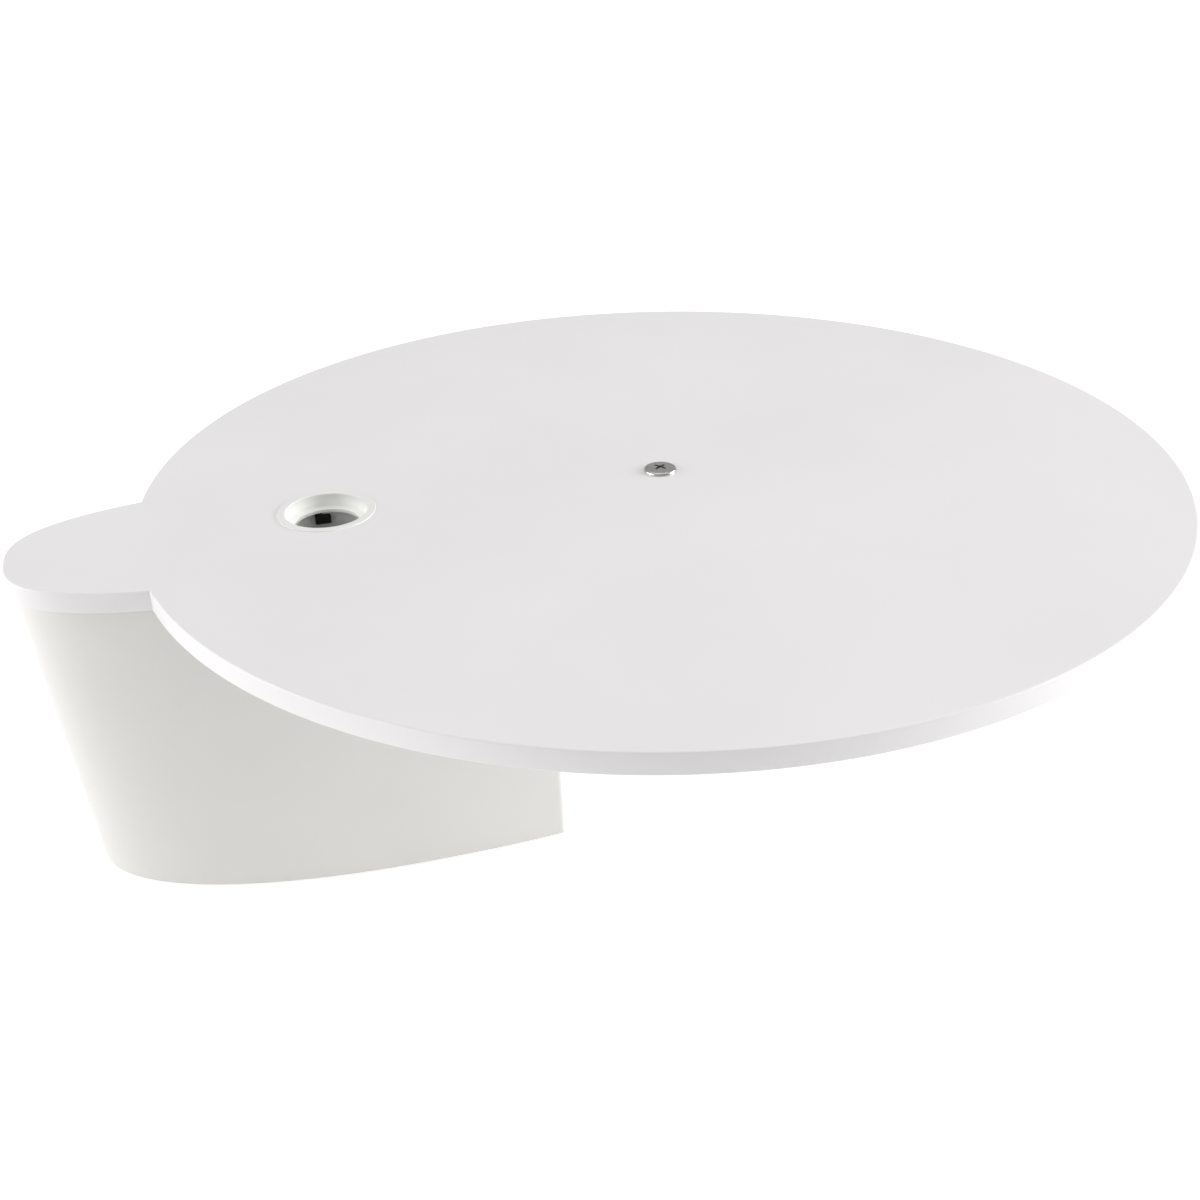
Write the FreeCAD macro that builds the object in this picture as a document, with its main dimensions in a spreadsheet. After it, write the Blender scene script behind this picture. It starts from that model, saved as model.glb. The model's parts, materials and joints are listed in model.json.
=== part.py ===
import FreeCAD, Part
import math
import os
import re

import Sketcher

# Swivelling round board on a fixed hub, with a deep cable housing hung under its thumb-shaped ear.
# Origin: centre of the hub's mounting face, on the swivel axis. +Z up, ear towards -X. Millimetres.

os.makedirs("parts", exist_ok=True)
doc = FreeCAD.newDocument("SwivelTop")
sheet = doc.addObject("Spreadsheet::Sheet", "Sizes")

SIZES = (
    ("disc_radius", 200, "radius of the round part of the board"),
    ("board_thick", 8, "board thickness"),
    ("board_low", 25, "height of the board's underside"),
    ("rim_round", 0.6, "rounding of the board's edges"),
    ("ear_centre", 139, "distance of the ear outline's centre from the swivel axis"),
    ("ear_long", 106.4, "half length of the ear outline"),
    ("ear_wide", 41.9, "half width of the ear outline"),
    ("ear_power", 2.69, "squareness of the ear outline"),
    ("grommet_x", -129.8, "cable hole position along the ear"),
    ("grommet_y", 6.2, "cable hole position across the ear"),
    ("grommet_outer", 16.5, "radius of the cable hole in the board"),
    ("grommet_flange", 18.6, "radius of the grommet's flange"),
    ("grommet_lip", 0.35, "height of the grommet's flange above the board"),
    ("grommet_bore", 15.4, "radius of the grommet's upper bore"),
    ("grommet_ledge", 12.1, "radius of the grommet's inner ledge"),
    ("ledge_drop", 4.8, "depth of the ledge below the board's top"),
    ("ledge_thick", 1.2, "thickness of the ledge"),
    ("grommet_tail", 6.5, "length of the grommet's sleeve below the board"),
    ("hub_radius", 43, "radius of the hub's flange"),
    ("hub_flange", 12, "thickness of the hub's flange"),
    ("hub_boss", 23, "radius of the hub's central boss"),
    ("hub_top", 19, "height of the hub's boss"),
    ("nut_recess", 11.5, "radius of the recess under the hub"),
    ("recess_top", 10.5, "height of the recess's roof"),
    ("bush_outer", 8, "outer radius of the pivot bushing"),
    ("bush_flange", 11, "radius of the bushing's flange"),
    ("bush_head", 1.5, "thickness of the bushing's flange"),
    ("sleeve_outer", 6, "outer radius of the pivot sleeve"),
    ("sleeve_gap", 0.04, "running clearance between sleeve and bushing"),
    ("sleeve_low", 9.5, "height of the sleeve's lower end"),
    ("washer_thick", 1.6, "thickness of the retaining washer"),
    ("washer_outer", 10, "radius of the retaining washer"),
    ("thrust_thick", 0.7, "thickness of the thrust washer"),
    ("nut_height", 5, "height of the pivot nut"),
    ("nut_corner", 5.77, "corner radius of the pivot nut"),
    ("pivot_shank", 3, "radius of the centre screw's shank"),
    ("pivot_length", 30, "length of the centre screw under its head"),
    ("pivot_hole", 3.2, "clearance hole for the centre screw"),
    ("head_radius", 6.4, "radius of the centre screw's head"),
    ("head_height", 1.7, "height of the centre screw's head"),
    ("head_round", 1, "rounding of the centre screw's head"),
    ("recess_wide", 1.1, "width of the arms of the centre screw's cross recess"),
    ("recess_long", 5.4, "length of the arms of the centre screw's cross recess"),
    ("head_crown", 0.5, "crown of the centre screw's head"),
    ("race_inner", 25, "inner radius of the races"),
    ("race_outer", 42, "outer radius of the races"),
    ("race_thick", 3.5, "thickness of a race"),
    ("track_radius", 33, "radius of the ball circle"),
    ("ball_radius", 3, "radius of a ball"),
    ("ball_height", 17, "height of the ball centres"),
    ("groove_gap", 0.03, "clearance between ball and groove"),
    ("cage_thick", 1.6, "thickness of the ball cage"),
    ("cage_half", 5, "half the radial width of the ball cage"),
    ("cage_gap", 0.08, "clearance between ball and cage"),
    ("race_screw_circle", 38.9, "radius of the circle of race screws"),
    ("small_shank", 1.5, "radius of a race screw's shank"),
    ("small_head", 2.7, "radius of a race screw's countersunk head"),
    ("small_length", 6, "length of a race screw"),
    ("mount_circle", 33, "radius of the mounting hole circle"),
    ("mount_hole", 2.5, "radius of a mounting hole"),
    ("mount_depth", 9, "depth of a mounting hole"),
    ("plate_radius", 54, "radius of the swivel plate"),
    ("plate_thick", 3, "thickness of the swivel plate"),
    ("plate_screw_circle", 48.4, "radius of the circle of swivel plate screws"),
    ("pan_shank", 2, "radius of a pan head screw's shank"),
    ("pan_hole", 2.3, "clearance hole for a pan head screw"),
    ("pan_head", 3.9, "radius of a pan head"),
    ("pan_height", 2.6, "height of a pan head"),
    ("pan_slot_wide", 0.8, "width of a pan head's cross slots"),
    ("pan_slot_deep", 1.3, "depth of a pan head's cross slots"),
    ("sunk_slot_wide", 0.6, "width of a countersunk head's cross slots"),
    ("sunk_slot_deep", 0.8, "depth of a countersunk head's cross slots"),
    ("screw_play", 0.2, "clearance round a countersunk screw"),
    ("plate_screw_length", 8, "length of a swivel plate screw"),
    ("lug_screw_length", 10, "length of a housing screw"),
    ("insert_outer", 2.8, "outer radius of a threaded insert"),
    ("insert_length", 5, "length of a threaded insert"),
    ("insert_relief", 0.5, "depth of an insert's hole beyond the insert"),
    ("housing_end", 55.4, "distance of the housing's flat end from the swivel axis"),
    ("housing_low", -93, "height of the housing's lower edge"),
    ("housing_wall", 3, "wall thickness of the housing"),
    ("seam_inset", 1.9, "inset of the housing's top behind the ear's edge"),
    ("low_centre", 98, "distance of the lower outline's centre from the swivel axis"),
    ("low_long", 131.8, "half length of the housing's lower outline"),
    ("low_wide", 50.2, "half width of the housing's lower outline"),
    ("low_power", 2.27, "squareness of the housing's lower outline"),
    ("corner_round", 3, "rounding of the housing's end corners"),
    ("lug_radius", 5.5, "radius of an upper fixing lug"),
    ("lug_height", 10, "height of an upper fixing lug"),
    ("lug_seat", 6, "depth of a lug left under a screw head"),
    ("lug_sink", 4.2, "radius of a lug's screw access hole"),
    ("boss_radius", 6, "radius of a cover boss"),
    ("boss_height", 12, "height of a cover boss"),
    ("cover_inset", 0.5, "recess of the cover above the housing's lower edge"),
    ("cover_thick", 2.5, "thickness of the cover"),
    ("cover_gap", 0.3, "clearance round the cover"),
    ("cover_shank", 1.75, "radius of a cover screw's shank"),
    ("cover_head", 3.2, "radius of a cover screw's countersunk head"),
    ("cover_screw_length", 10, "length of a cover screw"),
    ("exit_wide", 30, "width of the cable exit in the housing's flat end"),
    ("exit_low", -84, "height of the cable exit's lower edge"),
    ("exit_high", -62, "height of the cable exit's upper edge"),
    ("exit_round", 5, "corner radius of the cable exit"),
    ("clip_x", -130, "cable clip position along the ear"),
    ("clip_low", 21.8, "height of the cable clip's foot"),
    ("clip_wide", 5.9, "width of the cable clip"),
    ("clip_high", 3.1, "height of the cable clip"),
    ("clip_deep", 2.3, "depth of the cable clip in front of the grommet's wall"),
    ("step_wide", 2.6, "width of the step on the cable clip"),
    ("step_high", 1.8, "height of the step on the cable clip"),
)

for row, (alias, number, meaning) in enumerate(SIZES, start=1):
    sheet.set(f"A{row}", meaning)
    sheet.set(f"B{row}", str(number))
    sheet.setAlias(f"B{row}", alias)
doc.recompute()

BALL_COUNT = 18
RACE_SCREW_ANGLES = (45, 135, 225, 315)
MOUNT_ANGLES = (0, 90, 180, 270)
PLATE_SCREW_ANGLES = (30, 90, 150, 210, 270, 330)
# Upper fixing lugs of the housing: against the side walls near the flat end and the middle, and in the nose.
LUG_SPOTS = ((-75, -33), (-75, 33), (-180, -31.5), (-180, 31.5), (-235, 0))
# Cover bosses along the housing's lower edge.
BOSS_SPOTS = ((-70, -41.5), (-70, 41.5), (-150, -39.3), (-150, 39.3), (-222.8, 0))

CROSS_TURN = 33
OUTLINE_POINTS = 41
OUTLINE_STEPS = 600
UP = FreeCAD.Vector(0, 0, 1)

nodes = []


# ---------------------------------------------------------------- helpers

def linked(formula):
    """Rewrite a formula of sheet aliases so that an object outside the sheet can use it."""
    return re.sub(r"[a-z]+(?:_[a-z]+)+", lambda word: "Sizes." + word.group(), formula)


def size(formula):
    """Number that a formula of sheet aliases stands for."""
    return float(sheet.evalExpression(linked(formula)))


def bind(thing, **formulas):
    """Bind properties to formulas; two underscores in a name stand for a dot."""
    for name, formula in formulas.items():
        thing.setExpression(name.replace("__", "."), linked(formula))


def node(thing, label):
    """Register a finished object as a sub-part."""
    thing.Label = label
    nodes.append(thing)
    return thing


def on_circle(radius, angle):
    """Formulas for the x and y of a point on a circle about the swivel axis."""
    return f"{radius} * cos({angle} deg)", f"{radius} * sin({angle} deg)"


def new_body(name):
    return doc.addObject("PartDesign::Body", name)


def new_sketch(body, name, role="XY_Plane", lift="0"):
    """Sketch on one of the body's own origin planes, moved along its normal by a formula."""
    plane = next(item for item in body.Origin.OriginFeatures if item.Role == role)
    sketch = body.newObject("Sketcher::SketchObject", name)
    sketch.AttachmentSupport = (plane, [""])
    sketch.MapMode = "FlatFace"
    bind(sketch, AttachmentOffset__Base__z=lift)
    return sketch


def constrain(sketch, kind, *items, formula):
    """Add a dimension and bind it to a formula."""
    index = sketch.addConstraint(Sketcher.Constraint(kind, *items, size(formula)))
    sketch.setExpression(f"Constraints[{index}]", linked(formula))


def add_circle(sketch, radius, x="0", y="0"):
    """Circle whose radius and centre follow formulas."""
    centre = FreeCAD.Vector(size(x), size(y), 0)
    index = sketch.addGeometry(Part.Circle(centre, UP, size(radius)), False)
    constrain(sketch, "Radius", index, formula=radius)
    constrain(sketch, "DistanceX", -1, 1, index, 3, formula=x)
    constrain(sketch, "DistanceY", -1, 1, index, 3, formula=y)


def add_polygon(sketch, corners):
    """Closed polygon whose corners follow pairs of formulas."""
    points = [FreeCAD.Vector(size(x), size(y), 0) for x, y in corners]
    first = sketch.GeometryCount
    for index, point in enumerate(points):
        sketch.addGeometry(Part.LineSegment(point, points[(index + 1) % len(points)]), False)
    for index in range(len(points)):
        following = first + (index + 1) % len(points)
        sketch.addConstraint(Sketcher.Constraint("Coincident", first + index, 2, following, 1))
    for index, (x, y) in enumerate(corners):
        constrain(sketch, "DistanceX", -1, 1, first + index, 1, formula=x)
        constrain(sketch, "DistanceY", -1, 1, first + index, 1, formula=y)


def pad(body, sketch, name, length):
    feature = body.newObject("PartDesign::Pad", name)
    feature.Profile = sketch
    feature.Refine = False
    bind(feature, Length=length)
    doc.recompute()
    return feature


def pocket(body, sketch, name, length, upward):
    """Pocket of a given depth, cut upwards or downwards from its sketch; it must remove material."""
    before = body.Shape.Volume
    feature = body.newObject("PartDesign::Pocket", name)
    feature.Profile = sketch
    feature.Reversed = upward
    feature.Refine = False
    bind(feature, Length=length)
    doc.recompute()
    if body.Shape.Volume > before - 0.01:
        raise RuntimeError(f"{name} cuts nothing")
    return feature


def turned_body(name, corners):
    """Body of revolution about Z from a profile of (radius, height) formulas."""
    body = new_body(name)
    sketch = new_sketch(body, name + "_profile", "XZ_Plane")
    add_polygon(sketch, corners)
    turned = body.newObject("PartDesign::Revolution", name + "_turned")
    turned.Profile = sketch
    turned.ReferenceAxis = (sketch, ["V_Axis"])
    turned.Angle = 360
    doc.recompute()
    return body, turned


def edges_where(feature, passes):
    """Names of the edges whose bounding box passes a test."""
    edges = enumerate(feature.Shape.Edges, start=1)
    return [f"Edge{index}" for index, edge in edges if passes(edge.BoundBox)]


def level_edges(feature, height=None, shortest=0.0, longest=math.inf):
    """Names of the horizontal edges, at one height if given, whose extent along X lies within limits."""
    def passes(bounds):
        at_height = height is None or abs(bounds.ZMax - height) < 0.01
        return bounds.ZLength < 0.01 and at_height and shortest < bounds.XLength < longest

    return edges_where(feature, passes)


def round_edges(body, feature, name, radius, edges):
    """Fillet the named edges of a feature."""
    rounding = body.newObject("PartDesign::Fillet", name)
    rounding.Base = (feature, edges)
    rounding.Refine = False
    bind(rounding, Radius=radius)
    doc.recompute()
    return rounding


def cylinder(name, radius, height, x="0", y="0", z="0"):
    solid = doc.addObject("Part::Cylinder", name)
    bind(solid, Radius=radius, Height=height)
    bind(solid, Placement__Base__x=x, Placement__Base__y=y, Placement__Base__z=z)
    return solid


def cone(name, low, high, height, x="0", y="0", z="0"):
    solid = doc.addObject("Part::Cone", name)
    bind(solid, Radius1=low, Radius2=high, Height=height)
    bind(solid, Placement__Base__x=x, Placement__Base__y=y, Placement__Base__z=z)
    return solid


def box(name, long, wide, high, x, y, z, turn=0):
    """Box centred on x and y, standing on z, turned about Z."""
    solid = doc.addObject("Part::Box", name)
    bind(solid, Length=long, Width=wide, Height=high)
    solid.Placement.Rotation = FreeCAD.Rotation(UP, turn)
    shift = solid.Placement.Rotation.multVec(FreeCAD.Vector(size(long) / 2, size(wide) / 2, 0))
    bind(solid, Placement__Base__x=f"{x} - {shift.x}", Placement__Base__y=f"{y} - {shift.y}")
    bind(solid, Placement__Base__z=z)
    return solid


def fused(name, solids):
    fuse = doc.addObject("Part::MultiFuse", name)
    fuse.Shapes = solids
    return fuse


def cut(name, base, tool):
    result = doc.addObject("Part::Cut", name)
    result.Base = base
    result.Tool = tool
    return result


def group(name, solids):
    """Several equal loose pieces kept as one sub-part."""
    compound = doc.addObject("Part::Compound", name)
    compound.Links = solids
    return node(compound, name)


# ---------------------------------------------------------------- outlines of the ear and the housing

def rounded_outline(centre, long, wide, power, straight, angle):
    """Point of a squared-off ellipse on the -X side, at an angle about its own centre.

    The sides of a straight outline run on parallel behind the centre.
    """
    along = 0 if straight and math.cos(angle) < 0 else abs(math.cos(angle) / long) ** power
    reach = (along + abs(math.sin(angle) / wide) ** power) ** (-1 / power)
    return FreeCAD.Vector(-centre - reach * math.cos(angle), -reach * math.sin(angle), 0)


def find_angle(outline, is_past):
    """Angle between 0 and pi at which an outline first passes a test."""
    low, high = 0.0, math.pi
    for _ in range(60):
        middle = (low + high) / 2
        if is_past(rounded_outline(*outline, middle)):
            high = middle
        else:
            low = middle
    return low


def outline_curve(outline, limit):
    """Smooth curve from the limit angle on one side, round the nose, to the same angle on the other side."""
    shares = [1 - 2 * step / OUTLINE_STEPS for step in range(OUTLINE_STEPS + 1)]
    fine = [rounded_outline(*outline, limit * share) for share in shares]
    reached = [0.0]
    for before, after in zip(fine, fine[1:]):
        reached.append(reached[-1] + before.distanceToPoint(after))
    gap = reached[-1] / (OUTLINE_POINTS - 1)
    even = []
    for step in range(OUTLINE_POINTS):
        even.append(fine[min(range(len(fine)), key=lambda index: abs(reached[index] - gap * step))])
    curve = Part.BSplineCurve()
    curve.interpolate(even)
    return curve


def housing_outline(level, inset):
    """Outline of the housing's top or lower edge, moved inwards by an inset."""
    if level == "top":
        formulas = ("ear_centre", "ear_long - seam_inset", "ear_wide - seam_inset", "ear_power")
    else:
        formulas = ("low_centre", "low_long", "low_wide", "low_power")
    centre, long, wide, power = [size(formula) for formula in formulas]
    return centre, long - inset, wide - inset, power, level == "top"


def housing_section(body, name, level, inset, lift):
    """Sketch of one closed section of the housing: the nose curve and the flat end with rounded corners."""
    outline = housing_outline(level, inset)
    end = -size("housing_end") - inset
    # The inner corners lose a little less than the wall, so that they stay round.
    corner = size("corner_round") - 0.8 * inset
    limit = find_angle(outline, lambda point: point.x > end - corner)
    curve = outline_curve(outline, limit)
    side = curve.EndPoint.y
    bend = corner * math.sqrt(0.5)
    sketch = new_sketch(body, name, lift=lift)
    sketch.addGeometry(curve, False)
    for sign in (1, -1):
        start = FreeCAD.Vector(curve.EndPoint.x, sign * side, 0)
        middle = FreeCAD.Vector(end - corner + bend, sign * (side - corner + bend), 0)
        finish = FreeCAD.Vector(end, sign * (side - corner), 0)
        sketch.addGeometry(Part.Arc(start, middle, finish), False)
    flat = Part.LineSegment(FreeCAD.Vector(end, side - corner, 0), FreeCAD.Vector(end, corner - side, 0))
    sketch.addGeometry(flat, False)
    return sketch


# ---------------------------------------------------------------- board

ear = (size("ear_centre"), size("ear_long"), size("ear_wide"), size("ear_power"), True)
notch_angle = find_angle(ear, lambda point: point.Length < size("disc_radius"))
ear_curve = outline_curve(ear, notch_angle)
notch = ear_curve.EndPoint

board = new_body("board")
board_sketch = new_sketch(board, "board_outline", lift="board_low")
board_sketch.addGeometry(ear_curve, False)
disc = Part.Circle(FreeCAD.Vector(0, 0, 0), UP, size("disc_radius"))
notch_turn = math.atan2(notch.y, notch.x)
board_sketch.addGeometry(Part.ArcOfCircle(disc, -notch_turn, notch_turn), False)
board_pad = pad(board, board_sketch, "board_pad", "board_thick")
round_edges(board, board_pad, "board_rim", "rim_round", level_edges(board_pad))

board_holes = new_sketch(board, "board_holes", lift="board_low + board_thick")
add_circle(board_holes, "pivot_hole")
add_circle(board_holes, "grommet_outer", "grommet_x", "grommet_y")
pocket(board, board_holes, "board_through", "board_thick", upward=False)
insert_holes = new_sketch(board, "insert_holes", lift="board_low")
for angle in PLATE_SCREW_ANGLES:
    add_circle(insert_holes, "insert_outer", *on_circle("plate_screw_circle", angle))
for x, y in LUG_SPOTS:
    add_circle(insert_holes, "insert_outer", str(x), str(y))
pocket(board, insert_holes, "board_inserts", "insert_length + insert_relief", upward=True)
node(board, "board")

# ---------------------------------------------------------------- fixed hub

hub, hub_turned = turned_body("base_hub", (
    ("nut_recess", "0"),
    ("hub_radius", "0"),
    ("hub_radius", "hub_flange"),
    ("hub_boss", "hub_flange"),
    ("hub_boss", "hub_top"),
    ("bush_outer", "hub_top"),
    ("bush_outer", "recess_top"),
    ("nut_recess", "recess_top"),
))
mount_holes = new_sketch(hub, "mount_holes")
for angle in MOUNT_ANGLES:
    add_circle(mount_holes, "mount_hole", *on_circle("mount_circle", angle))
pocket(hub, mount_holes, "hub_mount_holes", "mount_depth", upward=True)
race_holes = new_sketch(hub, "race_holes", lift="hub_flange")
for angle in RACE_SCREW_ANGLES:
    add_circle(race_holes, "small_shank", *on_circle("race_screw_circle", angle))
pocket(hub, race_holes, "hub_race_holes", "small_length", upward=False)
node(hub, "base_hub")

bushing, _ = turned_body("pivot_bushing", (
    ("sleeve_outer + sleeve_gap", "recess_top"),
    ("bush_outer", "recess_top"),
    ("bush_outer", "hub_top"),
    ("bush_flange", "hub_top"),
    ("bush_flange", "hub_top + bush_head"),
    ("sleeve_outer + sleeve_gap", "hub_top + bush_head"),
))
node(bushing, "pivot_bushing")

# ---------------------------------------------------------------- pivot stack on the centre screw

sleeve, _ = turned_body("pivot_sleeve", (
    ("pivot_hole", "sleeve_low"),
    ("sleeve_outer", "sleeve_low"),
    ("sleeve_outer", "board_low - plate_thick"),
    ("pivot_hole", "board_low - plate_thick"),
))
node(sleeve, "pivot_sleeve")

retainer, _ = turned_body("retaining_washer", (
    ("pivot_hole", "sleeve_low - washer_thick"),
    ("washer_outer", "sleeve_low - washer_thick"),
    ("washer_outer", "sleeve_low"),
    ("pivot_hole", "sleeve_low"),
))
node(retainer, "retaining_washer")

thrust, _ = turned_body("thrust_washer", (
    ("sleeve_outer + 0.1", "sleeve_low"),
    ("washer_outer", "sleeve_low"),
    ("washer_outer", "sleeve_low + thrust_thick"),
    ("sleeve_outer + 0.1", "sleeve_low + thrust_thick"),
))
node(thrust, "thrust_washer")

nut_low = "sleeve_low - washer_thick - nut_height"
nut_blank = doc.addObject("Part::Prism", "nut_blank")
nut_blank.Polygon = 6
bind(nut_blank, Circumradius="nut_corner", Height="nut_height", Placement__Base__z=nut_low)
nut_thread = cylinder("nut_thread", "pivot_shank", "nut_height", z=nut_low)
node(cut("pivot_nut", nut_blank, nut_thread), "pivot_nut")

screw, screw_turned = turned_body("centre_screw", (
    ("0", "board_low + board_thick - pivot_length"),
    ("pivot_shank", "board_low + board_thick - pivot_length"),
    ("pivot_shank", "board_low + board_thick"),
    ("head_radius", "board_low + board_thick"),
    ("head_radius", "board_low + board_thick + head_height - head_crown"),
    ("0", "board_low + board_thick + head_height"),
))
head_rim = level_edges(screw_turned, size("board_low + board_thick + head_height - head_crown"))
round_edges(screw, screw_turned, "screw_head_rim", "head_round", head_rim)
recess = new_sketch(screw, "screw_recess", lift="board_low + board_thick + head_height")
half_long, half_wide = "recess_long / 2", "recess_wide / 2"
CROSS = (
    (half_long, f"-{half_wide}"), (half_long, half_wide), (half_wide, half_wide),
    (half_wide, half_long), (f"-{half_wide}", half_long), (f"-{half_wide}", half_wide),
    (f"-{half_long}", half_wide), (f"-{half_long}", f"-{half_wide}"), (f"-{half_wide}", f"-{half_wide}"),
    (f"-{half_wide}", f"-{half_long}"), (half_wide, f"-{half_long}"), (half_wide, f"-{half_wide}"),
)
add_polygon(recess, CROSS)
recess.AttachmentOffset.Rotation = FreeCAD.Rotation(UP, CROSS_TURN)
pocket(screw, recess, "screw_cross", "head_height", upward=False)
node(screw, "centre_screw")

# ---------------------------------------------------------------- ball bearing


def race(name, low, mouth, head_down):
    """Ring with a ball groove and countersunk holes; mouth is the height of the grooved face."""
    ring = cylinder(name + "_disc", "race_outer", "race_thick", z=low)
    cutters = [cylinder(name + "_eye", "race_inner", "race_thick", z=low)]
    groove = doc.addObject("Part::Torus", name + "_groove")
    bind(groove, Radius1="track_radius", Radius2="ball_radius + groove_gap", Placement__Base__z="ball_height")
    cutters.append(groove)
    narrow, broad = "small_shank + screw_play", "small_head + screw_play"
    sink = "small_head - small_shank"
    for index, angle in enumerate(RACE_SCREW_ANGLES):
        x, y = on_circle("race_screw_circle", angle)
        cutters.append(cylinder(f"{name}_hole{index}", narrow, "race_thick", x, y, low))
        if head_down:
            cutters.append(cone(f"{name}_sink{index}", broad, narrow, sink, x, y, mouth))
        else:
            cutters.append(cone(f"{name}_sink{index}", narrow, broad, sink, x, y, f"{mouth} - ({sink})"))
    node(cut(name, ring, fused(name + "_cutters", cutters)), name)


def cross_slots(name, long, wide, deep, x, y, z):
    """Cutter for the cross slots of one screw head."""
    return fused(name, [box(f"{name}_arm{turn}", long, wide, deep, x, y, z, turn) for turn in (0, 90)])


def countersunk_screws(name, spots, shank, head, length, face, head_down):
    """Countersunk screws whose heads lie flush in the face; head_down screws point upwards."""
    sink = f"({head} - {shank})"
    screws = []
    for index, (x, y) in enumerate(spots):
        if head_down:
            stem = cylinder(f"{name}_stem{index}", shank, length, x, y, face)
            top = cone(f"{name}_head{index}", head, shank, sink, x, y, face)
            slot_low = face
        else:
            stem = cylinder(f"{name}_stem{index}", shank, length, x, y, f"{face} - {length}")
            top = cone(f"{name}_head{index}", shank, head, sink, x, y, f"{face} - {sink}")
            slot_low = f"{face} - sunk_slot_deep"
        blank = fused(f"{name}_blank{index}", [stem, top])
        slots = cross_slots(f"{name}_cross{index}", f"{head} * 1.2", "sunk_slot_wide", "sunk_slot_deep",
                            x, y, slot_low)
        screws.append(cut(f"{name}_screw{index}", blank, slots))
    group(name, screws)


def pan_screws(name, spots, length, seat):
    """Pan head screws pointing upwards, with their heads under the seat."""
    screws = []
    for index, (x, y) in enumerate(spots):
        stem = cylinder(f"{name}_stem{index}", "pan_shank", length, x, y, seat)
        head_low = f"{seat} - pan_height"
        top = cylinder(f"{name}_head{index}", "pan_head", "pan_height", x, y, head_low)
        blank = fused(f"{name}_blank{index}", [stem, top])
        slots = cross_slots(f"{name}_cross{index}", "pan_head", "pan_slot_wide", "pan_slot_deep",
                            x, y, head_low)
        screws.append(cut(f"{name}_screw{index}", blank, slots))
    group(name, screws)


race_spots = [on_circle("race_screw_circle", angle) for angle in RACE_SCREW_ANGLES]
race("lower_race", "hub_flange", "hub_flange + race_thick", head_down=False)
countersunk_screws("lower_race_screws", race_spots, "small_shank", "small_head", "small_length",
                   "hub_flange + race_thick", head_down=False)
upper_low = "board_low - plate_thick - race_thick"
race("upper_race", upper_low, upper_low, head_down=True)
countersunk_screws("upper_race_screws", race_spots, "small_shank", "small_head", "small_length",
                   upper_low, head_down=True)

ball_spots = [on_circle("track_radius", index * 360 / BALL_COUNT) for index in range(BALL_COUNT)]
balls = []
for index, (x, y) in enumerate(ball_spots):
    ball = doc.addObject("Part::Sphere", f"ball{index}")
    bind(ball, Radius="ball_radius")
    bind(ball, Placement__Base__x=x, Placement__Base__y=y, Placement__Base__z="ball_height")
    balls.append(ball)
group("bearing_balls", balls)

cage = new_body("ball_cage")
cage_sketch = new_sketch(cage, "cage_outline", lift="ball_height - cage_thick / 2")
add_circle(cage_sketch, "track_radius + cage_half")
add_circle(cage_sketch, "track_radius - cage_half")
for x, y in ball_spots:
    add_circle(cage_sketch, "ball_radius + cage_gap", x, y)
pad(cage, cage_sketch, "cage_pad", "cage_thick")
node(cage, "ball_cage")

# ---------------------------------------------------------------- swivel plate under the board

plate = new_body("swivel_plate")
plate_sketch = new_sketch(plate, "plate_outline", lift="board_low - plate_thick")
add_circle(plate_sketch, "plate_radius")
add_circle(plate_sketch, "pivot_hole")
for x, y in race_spots:
    add_circle(plate_sketch, "small_shank", x, y)
plate_spots = [on_circle("plate_screw_circle", angle) for angle in PLATE_SCREW_ANGLES]
for x, y in plate_spots:
    add_circle(plate_sketch, "pan_hole", x, y)
pad(plate, plate_sketch, "plate_pad", "plate_thick")
node(plate, "swivel_plate")
pan_screws("swivel_plate_screws", plate_spots, "plate_screw_length", "board_low - plate_thick")


def inserts(name, spots):
    """Threaded inserts set flush in the board's underside."""
    rings = []
    for index, (x, y) in enumerate(spots):
        outer = cylinder(f"{name}_outer{index}", "insert_outer", "insert_length", x, y, "board_low")
        inner = cylinder(f"{name}_inner{index}", "pan_shank", "insert_length", x, y, "board_low")
        rings.append(cut(f"{name}_ring{index}", outer, inner))
    group(name, rings)


lug_spots = [(str(x), str(y)) for x, y in LUG_SPOTS]
boss_spots = [(str(x), str(y)) for x, y in BOSS_SPOTS]
inserts("plate_inserts", plate_spots)
inserts("housing_inserts", lug_spots)

# ---------------------------------------------------------------- housing


def loft(body, kind, name, inset):
    """Ruled loft between the housing's lower and top sections."""
    low = housing_section(body, name + "_low", "low", inset, "housing_low")
    high = housing_section(body, name + "_high", "top", inset, "board_low")
    feature = body.newObject(kind, name)
    feature.Profile = low
    feature.Sections = [high]
    feature.Ruled = True
    doc.recompute()
    return feature


shell = new_body("housing_shell")
loft(shell, "PartDesign::AdditiveLoft", "shell_outer", 0)
loft(shell, "PartDesign::SubtractiveLoft", "shell_inner", size("housing_wall"))

lugs = new_sketch(shell, "lugs", lift="board_low - lug_height")
for x, y in lug_spots:
    add_circle(lugs, "lug_radius", x, y)
pad(shell, lugs, "lug_pad", "lug_height")
bosses = new_sketch(shell, "bosses", lift="housing_low + cover_inset + cover_thick")
for x, y in boss_spots:
    add_circle(bosses, "boss_radius", x, y)
pad(shell, bosses, "boss_pad", "boss_height")

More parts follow.
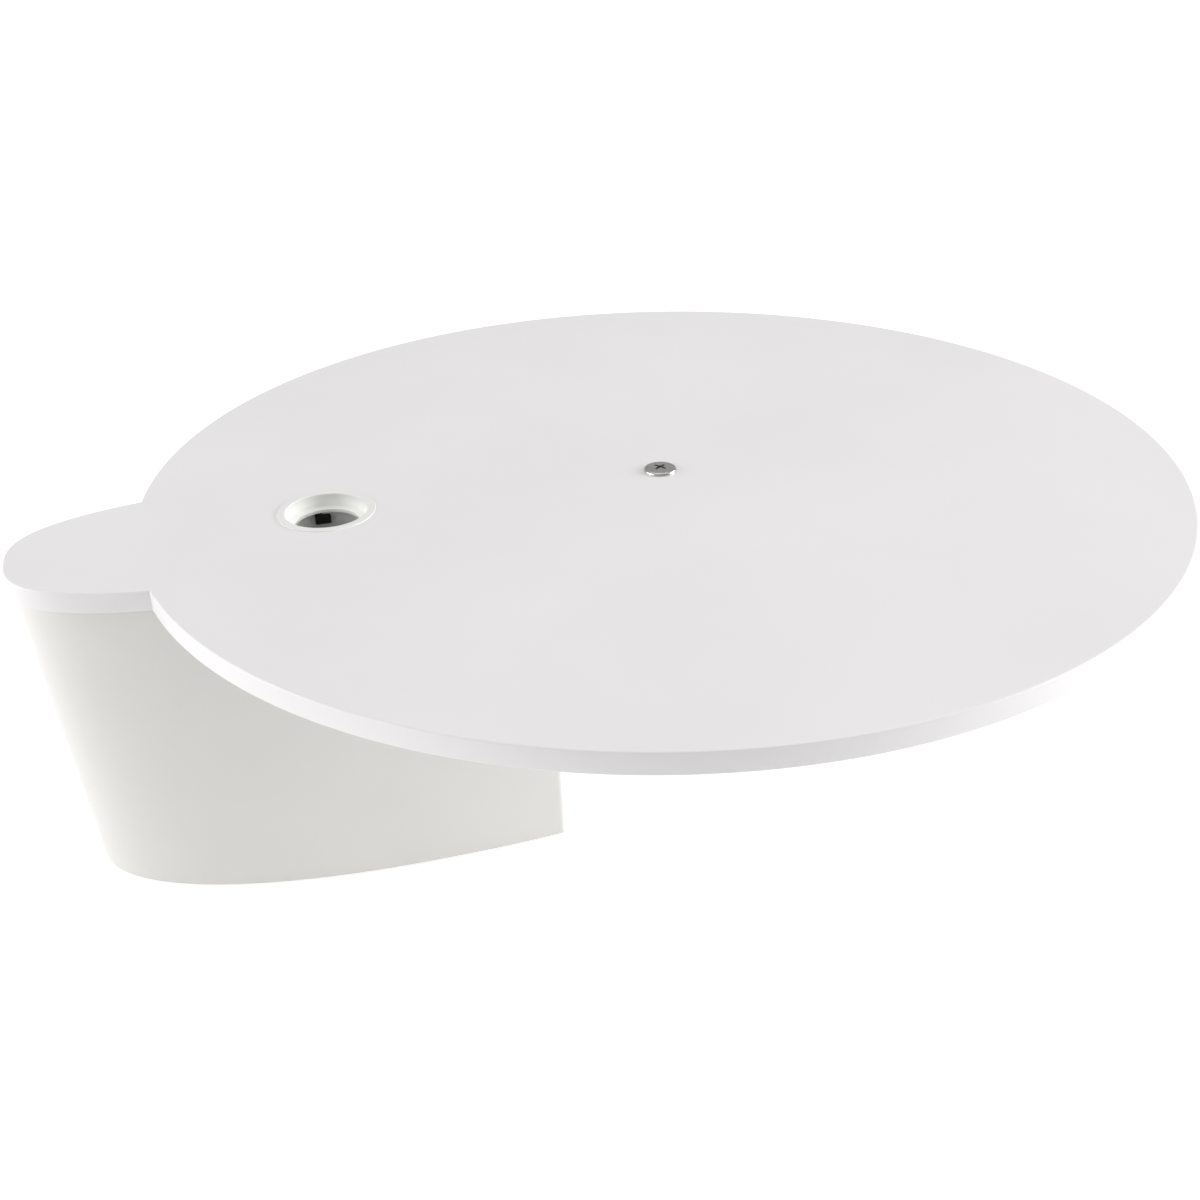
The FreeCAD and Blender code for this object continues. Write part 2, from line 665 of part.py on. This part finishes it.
lug_holes = new_sketch(shell, "lug_holes", lift="board_low - lug_height")
for x, y in lug_spots:
    add_circle(lug_holes, "pan_hole", x, y)
pocket(shell, lug_holes, "lug_drill", "lug_height", upward=True)
lug_sinks = new_sketch(shell, "lug_sinks", lift="board_low - lug_height")
for x, y in lug_spots:
    add_circle(lug_sinks, "lug_sink", x, y)
pocket(shell, lug_sinks, "lug_counterbore", "lug_height - lug_seat", upward=True)
boss_holes = new_sketch(shell, "boss_holes", lift="housing_low + cover_inset + cover_thick")
for x, y in boss_spots:
    add_circle(boss_holes, "cover_shank", x, y)
pocket(shell, boss_holes, "boss_drill", "cover_screw_length - cover_thick", upward=True)

exit_sketch = new_sketch(shell, "cable_exit", "YZ_Plane", lift="-housing_end - housing_wall - 1")
EXIT = (
    ("-exit_wide / 2", "exit_low"), ("exit_wide / 2", "exit_low"),
    ("exit_wide / 2", "exit_high"), ("-exit_wide / 2", "exit_high"),
)
add_polygon(exit_sketch, EXIT)
exit_cut = pocket(shell, exit_sketch, "cable_exit_cut", "housing_wall + 2", upward=True)


def is_exit_corner(bounds):
    """Whether an edge runs along X at one side of the cable exit."""
    along_x = max(bounds.YLength, bounds.ZLength) < 0.01
    return along_x and abs(abs(bounds.YMax) - size("exit_wide / 2")) < 0.01


round_edges(shell, exit_cut, "cable_exit_corners", "exit_round", edges_where(exit_cut, is_exit_corner))
node(shell, "housing_shell")
pan_screws("housing_screws", lug_spots, "lug_screw_length", "board_low - lug_seat")

# ---------------------------------------------------------------- cover under the housing

cover = new_body("housing_cover")
cover_low = "housing_low + cover_inset"
cover_sketch = housing_section(cover, "cover_outline", "low", size("housing_wall + cover_gap"), cover_low)
pad(cover, cover_sketch, "cover_pad", "cover_thick")
cover_holes = new_sketch(cover, "cover_holes", lift=cover_low)
for x, y in boss_spots:
    add_circle(cover_holes, "cover_shank + screw_play", x, y)
cover_drill = pocket(cover, cover_holes, "cover_drill", "cover_thick", upward=True)
sinks = cover.newObject("PartDesign::Chamfer", "cover_sinks")
sinks.Base = (cover_drill, level_edges(cover_drill, size(cover_low), shortest=3, longest=6))
bind(sinks, Size="cover_head - cover_shank")
doc.recompute()
node(cover, "housing_cover")
countersunk_screws("housing_cover_screws", boss_spots, "cover_shank", "cover_head", "cover_screw_length",
                   cover_low, head_down=True)

# ---------------------------------------------------------------- grommet and cable clip

grommet, grommet_turned = turned_body("cable_grommet", (
    ("grommet_ledge", "board_low + board_thick - ledge_drop - ledge_thick"),
    ("grommet_bore", "board_low + board_thick - ledge_drop - ledge_thick"),
    ("grommet_bore", "board_low - grommet_tail"),
    ("grommet_outer", "board_low - grommet_tail"),
    ("grommet_outer", "board_low + board_thick"),
    ("grommet_flange", "board_low + board_thick"),
    ("grommet_flange", "board_low + board_thick + grommet_lip"),
    ("grommet_bore", "board_low + board_thick + grommet_lip"),
    ("grommet_bore", "board_low + board_thick - ledge_drop"),
    ("grommet_ledge", "board_low + board_thick - ledge_drop"),
))
bind(grommet, Placement__Base__x="grommet_x", Placement__Base__y="grommet_y")
lip_edges = level_edges(grommet_turned, size("board_low + board_thick + grommet_lip"))
round_edges(grommet, grommet_turned, "grommet_lip_round", "grommet_lip * 0.8", lip_edges)
node(grommet, "cable_grommet")

# The clip's back takes the curve of the grommet's wall.
clip_middle = "grommet_y + grommet_bore - clip_deep / 2"
clip_block = box("clip_block", "clip_wide", "clip_deep", "clip_high", "clip_x", clip_middle, "clip_low")
clip_step = box("clip_step", "step_wide", "clip_deep", "step_high",
                "clip_x - (clip_wide - step_wide) / 2", clip_middle, "clip_low + clip_high")
clip_limit = cylinder("clip_limit", "grommet_bore", "clip_high + step_high",
                      "grommet_x", "grommet_y", "clip_low")
clip = doc.addObject("Part::Common", "cable_clip")
clip.Base = fused("clip_blank", [clip_block, clip_step])
clip.Tool = clip_limit
node(clip, "cable_clip")

# ---------------------------------------------------------------- check and export

doc.recompute()
failed = [item.Label for item in doc.Objects if "Invalid" in item.State or "Error" in item.State]
bad = [item.Label for item in nodes if item.Shape.isNull() or not item.Shape.isValid()]
if failed or bad:
    raise RuntimeError(f"failed objects: {failed}; bad shapes: {bad}")
for item in nodes:
    item.Shape.exportStep(f"parts/{item.Label}.step")
    print(f"{item.Label}: {len(item.Shape.Solids)} solids, {item.Shape.Volume / 1000:.2f} cm3")
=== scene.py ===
import json
import math

import bpy
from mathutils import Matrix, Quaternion, Vector
from mathutils.geometry import tessellate_polygon


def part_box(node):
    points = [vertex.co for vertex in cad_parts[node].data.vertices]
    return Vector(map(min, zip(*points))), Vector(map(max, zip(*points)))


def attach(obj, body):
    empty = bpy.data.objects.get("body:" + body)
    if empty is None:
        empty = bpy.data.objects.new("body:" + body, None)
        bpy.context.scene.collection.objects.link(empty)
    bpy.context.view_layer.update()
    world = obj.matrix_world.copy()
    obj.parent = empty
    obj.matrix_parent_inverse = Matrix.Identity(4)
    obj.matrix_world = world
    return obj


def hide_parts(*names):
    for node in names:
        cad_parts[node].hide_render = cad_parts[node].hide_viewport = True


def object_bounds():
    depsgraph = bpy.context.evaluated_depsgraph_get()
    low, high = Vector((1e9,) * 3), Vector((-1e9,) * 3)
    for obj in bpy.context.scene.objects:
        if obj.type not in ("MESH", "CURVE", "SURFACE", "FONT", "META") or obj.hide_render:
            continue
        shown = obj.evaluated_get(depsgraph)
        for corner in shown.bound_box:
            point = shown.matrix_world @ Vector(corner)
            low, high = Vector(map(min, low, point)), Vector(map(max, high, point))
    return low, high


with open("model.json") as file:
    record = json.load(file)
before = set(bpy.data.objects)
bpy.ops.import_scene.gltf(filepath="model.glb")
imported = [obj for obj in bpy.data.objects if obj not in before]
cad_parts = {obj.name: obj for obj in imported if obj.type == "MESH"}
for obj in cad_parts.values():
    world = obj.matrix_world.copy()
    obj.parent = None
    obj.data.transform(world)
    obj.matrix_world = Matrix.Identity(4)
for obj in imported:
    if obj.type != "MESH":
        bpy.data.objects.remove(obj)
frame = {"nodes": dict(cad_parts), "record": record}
cad_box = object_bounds()
nodes = frame["nodes"]

# Lengths are in metres, angles in degrees and lamp powers in watts, unless a comment says otherwise.

# Camera: front left of the board, looking down on it.
CAMERA_PLACE = (-0.1799, -0.5610, 0.2881)
CAMERA_TARGET = (-0.0398, -0.0651, 0.0330)
CAMERA_ROLL = -1.63
CAMERA_LENS, SENSOR_WIDTH = 49.13, 36  # millimetres
CAMERA_SHIFT = (-0.0083, -0.0375)  # share of the picture's width

# Board: a disc with an ear; its top and underside come from the CAD box.
DISC_RADIUS = 0.200
EAR_CENTRE, EAR_LONG, EAR_WIDE, EAR_POWER = 0.139, 0.1064, 0.0419, 2.69
OUTLINE_STEP = 0.0015
EAR_SAMPLES = 1000  # points along half the ear, before they are thinned out
NOTCH_HALVINGS = 50  # bisection steps that find where the ear meets the disc
RIM_ROUND, RIM_STEPS = 0.0006, 5
RIM_BORDER = RIM_ROUND * 2  # narrow flat band that keeps the shading of the rounding off the faces
SHARP_ANGLE = 35

# Holes of the board: x, y and radius of those that go through, and the blind ones of the inserts.
THROUGH_HOLES = ((0.0, 0.0, 0.0032), (-0.1298, 0.0062, 0.0165))
INSERT_RADIUS, INSERT_DEPTH = 0.0028, 0.0055
HOLE_SIDES, INSERT_SIDES = 96, 32
PLATE_CIRCLE = 0.0484
PLATE_ANGLES = [math.radians(30 + 60 * step) for step in range(6)]
LUG_SPOTS = [(-0.075, -0.033), (-0.075, 0.033), (-0.180, -0.0315), (-0.180, 0.0315), (-0.235, 0.0)]
INSERT_SPOTS = [(PLATE_CIRCLE * math.cos(angle), PLATE_CIRCLE * math.sin(angle)) for angle in PLATE_ANGLES]
INSERT_SPOTS += LUG_SPOTS

# Paper sweep: a flat floor just under the object that bends up into a wall all round.
FLOOR_DROP = 0.0004
FLOOR_REACH, BEND_RADIUS, WALL_HEIGHT = 7.0, 1.0, 3.0
BEND_STEPS, FLOOR_SIDES = 16, 96
PAPER_TONES = ((0.69, 0.69, 0.69), (0.71, 0.71, 0.71))
PAPER_GRAIN, PAPER_ROUGHNESS = 3.0, 0.95

# Glow of the paper: it starts in front of the object along y, grows with distance and ends before the wall.
GLOW = 0.42
GLOW_START, GLOW_FULL = -0.55, -0.30
FAR_GLOW, FAR_START, FAR_FULL = 2.3, 1.0, 4.0
GLOW_REACH = 6.5

# Lamps: name, place, width, height and power.
LAMPS = (
    ("overhead", (0.0, 0.2, 2.2), 2.4, 2.4, 13.5),
    ("left_side", (-2.4, -0.2, 0.8), 1.6, 1.4, 26),
    ("left_back", (-2.3, 0.7, 0.5), 1.4, 1.2, 17),
    ("right_side", (2.4, -0.2, 0.8), 1.6, 1.4, 48),
    ("right_low", (2.2, -0.9, 0.35), 1.2, 1.0, 30),
)
WORLD_STRENGTH = 0.465
WHITE = (1, 1, 1, 1)

# Noise mostly lies in this range; coarse and fine noise differ in detail.
NOISE_LOW, NOISE_HIGH = 0.3, 0.7
COARSE_DETAIL, FINE_DETAIL = 3.0, 5.0

# Look of each slot: two colours to blend, the range of roughness, the scale of the colour's grain, and the
# relief's scale, strength and depth. Some have a share of metal, or a stretch of the grain along each axis.
# A lighter colour can also take over below a height, painting light into a hollow that little light
# reaches; it comes with the heights where it starts and is full.
LOOKS = {
    "board_white": dict(colours=((0.74, 0.725, 0.73), (0.77, 0.755, 0.76)), rough=(0.30, 0.40),
                        grain=9, bump_scale=700, bump=(0.06, 0.00008)),
    "housing_white": dict(colours=((0.675, 0.665, 0.645), (0.705, 0.695, 0.67)), rough=(0.42, 0.55),
                          grain=14, bump_scale=1600, bump=(0.12, 0.0001)),
    # The grommet's lighter colour low in its sleeve is painted light, brightening a hollow that the lamps
    # barely reach.
    "grommet_white": dict(colours=((0.735, 0.73, 0.715), (0.755, 0.75, 0.735)), rough=(0.28, 0.36),
                          grain=60, bump_scale=900, bump=(0.02, 0.00002),
                          painted_light_below=((0.90, 0.90, 0.875), 0.033, 0.030)),
    "screw_nickel": dict(colours=((0.50, 0.49, 0.48), (0.58, 0.57, 0.56)), rough=(0.18, 0.32), metal=1.0,
                         grain=400, bump_scale=2500, bump=(0.08, 0.00004)),
    "screw_steel": dict(colours=((0.55, 0.55, 0.56), (0.64, 0.64, 0.65)), rough=(0.28, 0.45), metal=1.0,
                        grain=300, bump_scale=2500, bump=(0.10, 0.00005)),
    "race_steel": dict(colours=((0.50, 0.51, 0.52), (0.60, 0.61, 0.62)), rough=(0.25, 0.42), metal=1.0,
                       grain=120, bump_scale=1800, bump=(0.10, 0.00005), stretch=(1, 1, 9)),
    "plate_steel": dict(colours=((0.045, 0.045, 0.05), (0.07, 0.07, 0.075)), rough=(0.48, 0.65),
                        grain=200, bump_scale=1500, bump=(0.35, 0.00012)),
    "ball_steel": dict(colours=((0.70, 0.70, 0.71), (0.76, 0.76, 0.77)), rough=(0.06, 0.14), metal=1.0,
                       grain=500, bump_scale=3000, bump=(0.03, 0.00002)),
    "cage_nylon": dict(colours=((0.66, 0.63, 0.54), (0.72, 0.69, 0.60)), rough=(0.40, 0.55),
                       grain=90, bump_scale=1200, bump=(0.12, 0.00008)),
    "hub_metal": dict(colours=((0.62, 0.63, 0.64), (0.70, 0.71, 0.72)), rough=(0.30, 0.48), metal=1.0,
                      grain=80, bump_scale=1500, bump=(0.12, 0.00006), stretch=(1, 1, 10)),
    "bushing_bronze": dict(colours=((0.46, 0.30, 0.15), (0.56, 0.38, 0.20)), rough=(0.35, 0.55), metal=1.0,
                           grain=350, bump_scale=2200, bump=(0.25, 0.00008)),
    "insert_brass": dict(colours=((0.62, 0.45, 0.19), (0.72, 0.54, 0.25)), rough=(0.25, 0.40), metal=1.0,
                         grain=350, bump_scale=2200, bump=(0.15, 0.00006)),
    "clip_black": dict(colours=((0.006, 0.006, 0.006), (0.010, 0.010, 0.010)), rough=(0.45, 0.6),
                       grain=400, bump_scale=2000, bump=(0.10, 0.00005)),
}


# ---------------------------------------------------------------- materials

class Graph:
    """Node tree of one procedural material, with short ways to add and join nodes."""

    def __init__(self, name):
        self.material = bpy.data.materials.new(name)
        self.material.use_nodes = True
        self.tree = self.material.node_tree
        self.shader = self.tree.nodes["Principled BSDF"]

    def add(self, kind, **inputs):
        """New node; an underscore in an input's name stands for a space."""
        node = self.tree.nodes.new(kind)
        for name, value in inputs.items():
            node.inputs[name.replace("_", " ")].default_value = value
        return node

    def join(self, source, target):
        self.tree.links.new(source, target)

    def place(self, stretch=(1, 1, 1)):
        """Object coordinates, stretched for grain that runs one way."""
        coordinates = self.add("ShaderNodeTexCoord")
        mapping = self.add("ShaderNodeMapping", Scale=stretch)
        self.join(coordinates.outputs["Object"], mapping.inputs["Vector"])
        return mapping.outputs["Vector"]

    def axis(self, place, name):
        """One coordinate of a place: X, Y or Z."""
        node = self.add("ShaderNodeSeparateXYZ")
        self.join(place, node.inputs["Vector"])
        return node.outputs[name]

    def distance(self, place):
        """Distance of a place from the origin."""
        node = self.add("ShaderNodeVectorMath")
        node.operation = "LENGTH"
        self.join(place, node.inputs[0])
        return node.outputs["Value"]

    def noise(self, place, scale, detail=COARSE_DETAIL):
        node = self.add("ShaderNodeTexNoise", Scale=scale, Detail=detail)
        self.join(place, node.inputs["Vector"])
        return node.outputs["Fac"]

    def spread(self, source, low, high, start=NOISE_LOW, end=NOISE_HIGH):
        """Signal that goes from low to high while the source goes from start to end."""
        node = self.add("ShaderNodeMapRange", From_Min=start, From_Max=end, To_Min=low, To_Max=high)
        self.join(source, node.inputs["Value"])
        return node.outputs["Result"]

    def times(self, first, second):
        """Product of two signals."""
        node = self.add("ShaderNodeMath")
        node.operation = "MULTIPLY"
        self.join(first, node.inputs[0])
        self.join(second, node.inputs[1])
        return node.outputs["Value"]

    def blend(self, source, first, second):
        """Colour between two colours, each an RGB triple or another node's output."""
        node = self.add("ShaderNodeMix")
        node.data_type = "RGBA"
        sockets = {socket.identifier: socket for socket in node.inputs}
        for name, colour in (("A_Color", first), ("B_Color", second)):
            if isinstance(colour, tuple):
                sockets[name].default_value = (*colour, 1)
            else:
                self.join(colour, sockets[name])
        self.join(source, sockets["Factor_Float"])
        return next(socket for socket in node.outputs if socket.identifier == "Result_Color")

    def bump(self, source, strength, distance):
        node = self.add("ShaderNodeBump", Strength=strength, Distance=distance)
        self.join(source, node.inputs["Height"])
        self.join(node.outputs["Normal"], self.shader.inputs["Normal"])


def surface(name, colours, rough, grain, bump_scale, bump, metal=0.0, stretch=(1, 1, 1), painted_light_below=None):
    """Principled material whose colour, roughness and relief all vary a little over the surface."""
    graph = Graph(name)
    place = graph.place(stretch)
    broad = graph.noise(place, grain)
    fine = graph.noise(place, bump_scale, FINE_DETAIL)
    colour = graph.blend(graph.spread(broad, 0, 1), *colours)
    # Painted light: below a height the colour turns lighter, to brighten a hollow that little light
    # reaches.
    if painted_light_below:
        light, start, end = painted_light_below
        colour = graph.blend(graph.spread(graph.axis(place, "Z"), 0, 1, start, end), colour, light)
    graph.join(colour, graph.shader.inputs["Base Color"])
    graph.join(graph.spread(fine, *rough), graph.shader.inputs["Roughness"])
    graph.bump(fine, *bump)
    graph.shader.inputs["Metallic"].default_value = metal
    return graph.material


MATERIALS = {slot: surface(slot, **look) for slot, look in LOOKS.items()}

for entry in frame["record"]["subparts"]:
    mesh = nodes[entry["node"]].data
    mesh.materials.clear()
    mesh.materials.append(MATERIALS[entry["material_slot"]])


# ---------------------------------------------------------------- shapes

def put(name, data):
    """New object in the scene."""
    piece = bpy.data.objects.new(name, data)
    bpy.context.scene.collection.objects.link(piece)
    return piece


def pairs(loop):
    """Each member of a closed loop with the one after it."""
    return zip(loop, loop[1:] + loop[:1])


class Mesh:
    """Points and faces of one piece, built up ring by ring."""

    def __init__(self):
        self.points = []
        self.faces = []

    def ring(self, flat_points, level):
        """Add a closed ring of points at one height; returns their numbers."""
        start = len(self.points)
        self.points.extend((x, y, level) for x, y in flat_points)
        return list(range(start, len(self.points)))

    def join(self, low, high):
        """Wall between two rings of the same length, facing outwards if they run anticlockwise."""
        for (low_here, low_next), (high_here, high_next) in zip(pairs(low), pairs(high)):
            self.faces.append((low_here, low_next, high_next, high_here))

    def cap(self, rings, upward):
        """Flat face within the first ring, with the others as holes."""
        loops = [[Vector(self.points[number]) for number in ring] for ring in rings]
        numbers = [number for ring in rings for number in ring]
        for triangle in tessellate_polygon(loops):
            corners = [Vector(self.points[numbers[index]]) for index in triangle]
            faces_up = (corners[1] - corners[0]).cross(corners[2] - corners[0]).z > 0
            face = tuple(numbers[index] for index in triangle)
            self.faces.append(face if faces_up == upward else face[::-1])

    def finish(self, name):
        """Object with smooth shading, apart from its sharp edges."""
        mesh = bpy.data.meshes.new(name)
        mesh.from_pydata(self.points, [], self.faces)
        for face in mesh.polygons:
            face.use_smooth = True
        mesh.set_sharp_from_angle(angle=math.radians(SHARP_ANGLE))
        return put(name, mesh)


def circle(x, y, radius, sides):
    """Anticlockwise circle in the plane."""
    angles = [2 * math.pi * step / sides for step in range(sides)]
    return [(x + radius * math.cos(angle), y + radius * math.sin(angle)) for angle in angles]


# ---------------------------------------------------------------- board with a finely divided edge

def ear_point(angle):
    """Point of the ear's squared-off outline, at an angle about its own centre."""
    along = abs(math.cos(angle) / EAR_LONG) ** EAR_POWER
    across = abs(math.sin(angle) / EAR_WIDE) ** EAR_POWER
    reach = (along + across) ** (-1 / EAR_POWER)
    return Vector((-EAR_CENTRE - reach * math.cos(angle), -reach * math.sin(angle)))


def board_outline():
    """Outline of disc and ear, anticlockwise, in steps of about OUTLINE_STEP."""
    low, high = 0.0, math.pi
    for _ in range(NOTCH_HALVINGS):
        notch_angle = (low + high) / 2
        if ear_point(notch_angle).length < DISC_RADIUS:
            high = notch_angle
        else:
            low = notch_angle
    fine = [ear_point(notch_angle * (step / EAR_SAMPLES - 1)) for step in range(2 * EAR_SAMPLES + 1)]
    outline = [fine[0]]
    for point in fine[1:-1]:
        if (point - outline[-1]).length > OUTLINE_STEP:
            outline.append(point)
    outline.append(fine[-1])
    notch_turn = math.atan2(fine[-1].y, fine[-1].x)
    count = round(-2 * notch_turn * DISC_RADIUS / OUTLINE_STEP)
    for step in range(1, count):
        turn = notch_turn * (1 - 2 * step / count)
        outline.append(Vector((DISC_RADIUS * math.cos(turn), DISC_RADIUS * math.sin(turn))))
    return outline


def moved_in(outline, inset):
    """Anticlockwise outline moved inwards, with mitred corners."""
    moved = []
    for index, point in enumerate(outline):
        before = (point - outline[index - 1]).normalized().orthogonal()
        after = (outline[(index + 1) % len(outline)] - point).normalized().orthogonal()
        moved.append(point + (before + after) * inset / (1 + before.dot(after)))
    return moved


def make_board():
    """Board with rounded edges, two through holes and the blind holes of the inserts."""
    low, high = (corner.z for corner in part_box("board"))
    outline = board_outline()
    bends = [math.pi / 2 * step / RIM_STEPS for step in range(RIM_STEPS + 1)]
    curve = [(RIM_ROUND * (1 - math.sin(bend)), RIM_ROUND * (1 - math.cos(bend))) for bend in bends]
    levels = [(RIM_BORDER, low)]
    levels += [(inset, low + rise) for inset, rise in curve]
    levels += [(inset, high - drop) for drop, inset in curve]
    levels += [(RIM_BORDER, high)]
    mesh = Mesh()
    rings = [mesh.ring(moved_in(outline, inset), level) for inset, level in levels]
    for below, above in zip(rings, rings[1:]):
        mesh.join(below, above)
    lower_holes = []
    upper_holes = []
    for x, y, radius in THROUGH_HOLES:
        hole = circle(x, y, radius, HOLE_SIDES)
        lower_holes.append(mesh.ring(hole, low))
        upper_holes.append(mesh.ring(hole, high))
        mesh.join(upper_holes[-1], lower_holes[-1])
    for x, y in INSERT_SPOTS:
        hole = circle(x, y, INSERT_RADIUS, INSERT_SIDES)
        lower_holes.append(mesh.ring(hole, low))
        roof = mesh.ring(hole, low + INSERT_DEPTH)
        mesh.join(roof, lower_holes[-1])
        mesh.cap([roof], upward=False)
    mesh.cap([rings[0]] + lower_holes, upward=False)
    mesh.cap([rings[-1]] + upper_holes, upward=True)
    return mesh.finish("board_fine")


board = make_board()
board.data.materials.append(MATERIALS["board_white"])
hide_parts("board")
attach(board, "turntable")


# ---------------------------------------------------------------- floor and backdrop

def make_sweep(drop):
    """Paper sweep, as one surface of revolution that faces up and inwards."""
    profile = [(FLOOR_REACH, drop)]
    for step in range(1, BEND_STEPS + 1):
        angle = math.pi / 2 * step / BEND_STEPS
        out, rise = BEND_RADIUS * math.sin(angle), BEND_RADIUS * (1 - math.cos(angle))
        profile.append((FLOOR_REACH + out, drop + rise))
    profile.append((FLOOR_REACH + BEND_RADIUS, drop + WALL_HEIGHT))
    mesh = Mesh()
    middle = mesh.ring([(0.0, 0.0)], drop)[0]
    rings = [mesh.ring(circle(0.0, 0.0, radius, FLOOR_SIDES), level) for radius, level in profile]
    for here, following in pairs(rings[0]):
        mesh.faces.append((middle, here, following))
    for inner, outer in zip(rings, rings[1:]):
        mesh.join(outer, inner)
    return mesh.finish("floor")


def make_paper():
    """Matt paper with a painted glow round and behind the object, which also sheds light onto it."""
    paper = Graph("paper")
    place = paper.place()
    tone = paper.spread(paper.noise(place, PAPER_GRAIN), 0, 1)
    distance = paper.distance(place)
    # Painted glow: emission that rises along y and with distance, then fades out before the wall.
    glow = paper.spread(paper.axis(place, "Y"), 0, GLOW, GLOW_START, GLOW_FULL)
    glow = paper.times(glow, paper.spread(distance, 1, FAR_GLOW, FAR_START, FAR_FULL))
    glow = paper.times(glow, paper.spread(distance, 1, 0, GLOW_REACH, FLOOR_REACH))
    paper.join(paper.blend(tone, *PAPER_TONES), paper.shader.inputs["Base Color"])
    paper.join(glow, paper.shader.inputs["Emission Strength"])
    paper.shader.inputs["Emission Color"].default_value = WHITE
    paper.shader.inputs["Roughness"].default_value = PAPER_ROUGHNESS
    paper.shader.inputs["Specular IOR Level"].default_value = 0.0
    return paper.material


floor = make_sweep(cad_box[0].z - FLOOR_DROP)
floor.data.materials.append(make_paper())


# ---------------------------------------------------------------- light

def softbox(name, place, width, height, power):
    """Rectangular soft light aimed at the origin, under the board's centre."""
    light = bpy.data.lights.new(name, "AREA")
    light.shape = "RECTANGLE"
    light.size = width
    light.size_y = height
    light.energy = power
    lamp = put(name, light)
    lamp.location = place
    lamp.rotation_mode = "QUATERNION"
    lamp.rotation_quaternion = (-Vector(place)).to_track_quat("-Z", "Y")


for lamp_values in LAMPS:
    softbox(*lamp_values)

world = bpy.data.worlds.new("studio")
world.use_nodes = True
world.node_tree.nodes["Background"].inputs["Color"].default_value = WHITE
world.node_tree.nodes["Background"].inputs["Strength"].default_value = WORLD_STRENGTH
bpy.context.scene.world = world
bpy.context.scene.view_settings.view_transform = "Standard"


# ---------------------------------------------------------------- camera

lens = bpy.data.cameras.new("camera")
lens.sensor_width = SENSOR_WIDTH
lens.lens = CAMERA_LENS
lens.shift_x, lens.shift_y = CAMERA_SHIFT
camera = put("camera", lens)
camera.location = CAMERA_PLACE
aim = (Vector(CAMERA_TARGET) - Vector(CAMERA_PLACE)).to_track_quat("-Z", "Y")
camera.rotation_mode = "QUATERNION"
camera.rotation_quaternion = aim @ Quaternion((0, 0, 1), math.radians(CAMERA_ROLL))
bpy.context.scene.camera = camera
